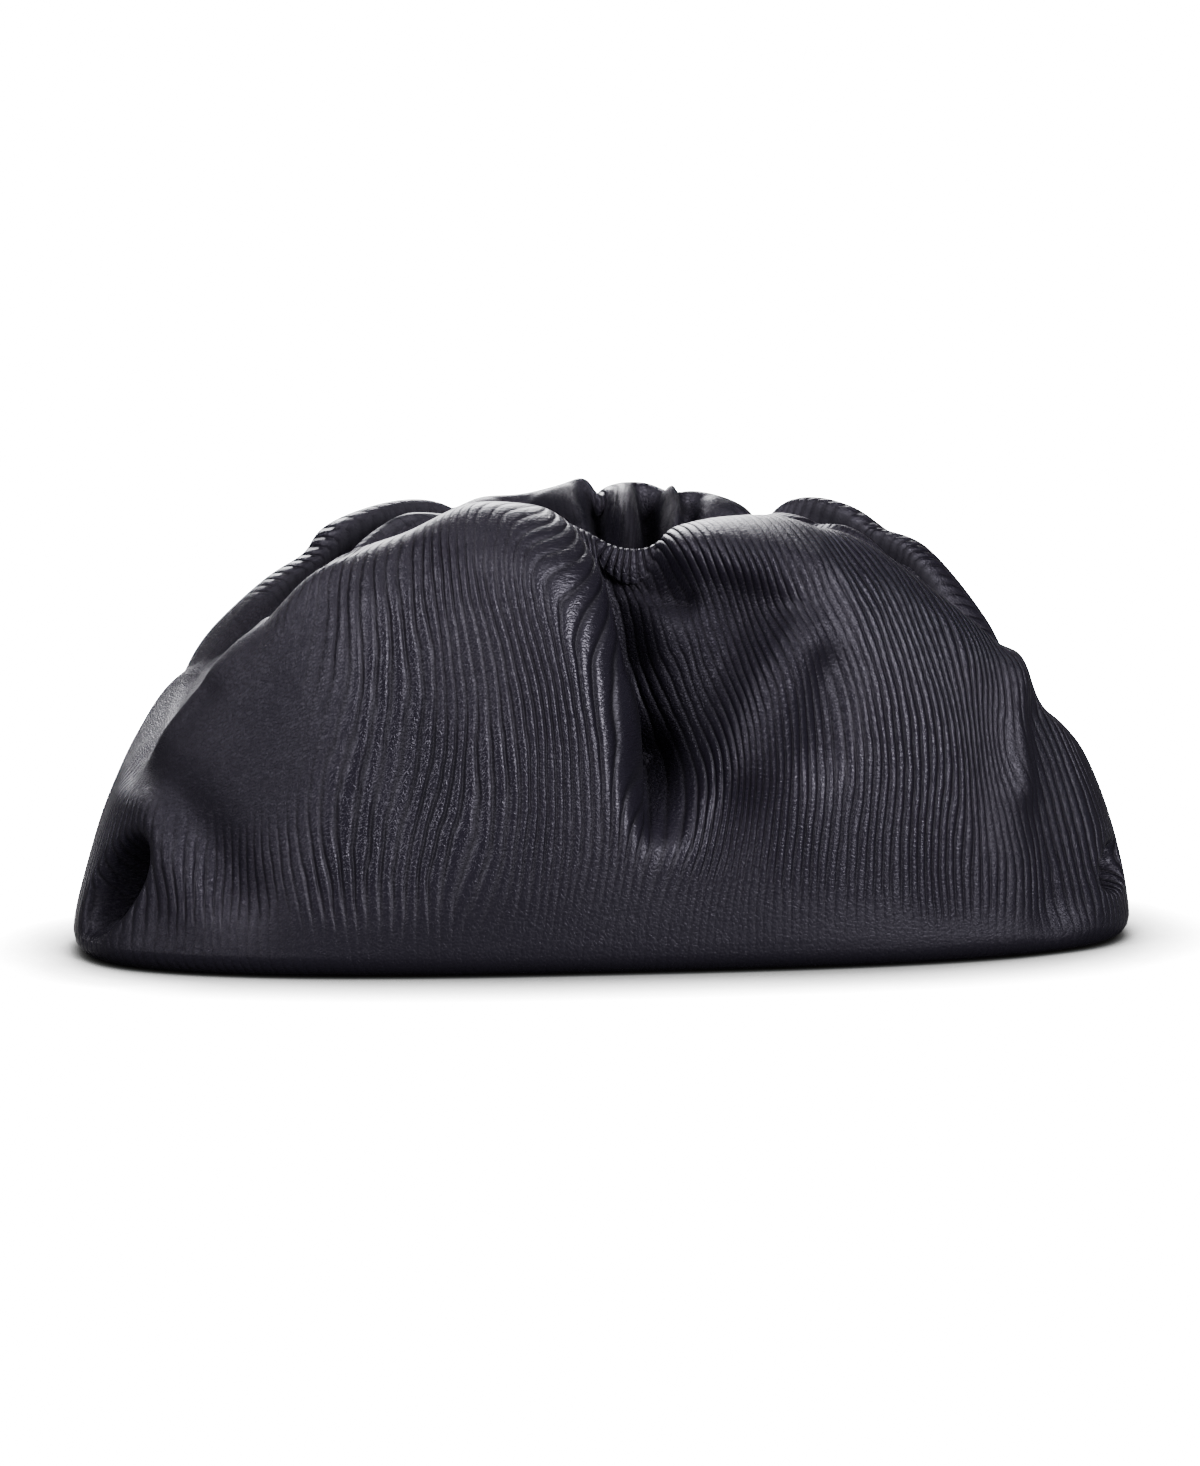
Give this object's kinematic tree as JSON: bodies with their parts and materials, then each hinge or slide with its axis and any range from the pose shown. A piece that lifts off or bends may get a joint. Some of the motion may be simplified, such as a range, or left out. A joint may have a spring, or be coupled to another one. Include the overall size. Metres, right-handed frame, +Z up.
{
  "type": "gathered pouch clutch bag",
  "caption": "Soft hollow leather pouch bag, gathered in deep pleats round a straight hidden snap frame, carried in the hand.",
  "frame": {"origin": "centre of the flat base, on the floor that the bag rests on", "axes": "+X along the bag's length, towards the right end seen from the front; the front faces -Y; +Z up"},
  "size_m": [0.4, 0.1501, 0.1709],
  "materials": {
    "leather": "satin, with an embossed wavy grain",
    "frame_metal": "satin"
  },
  "bodies": {
    "root": {"pouch_body": "leather", "snap_frame": "frame_metal"}
  },
  "joints": []
}
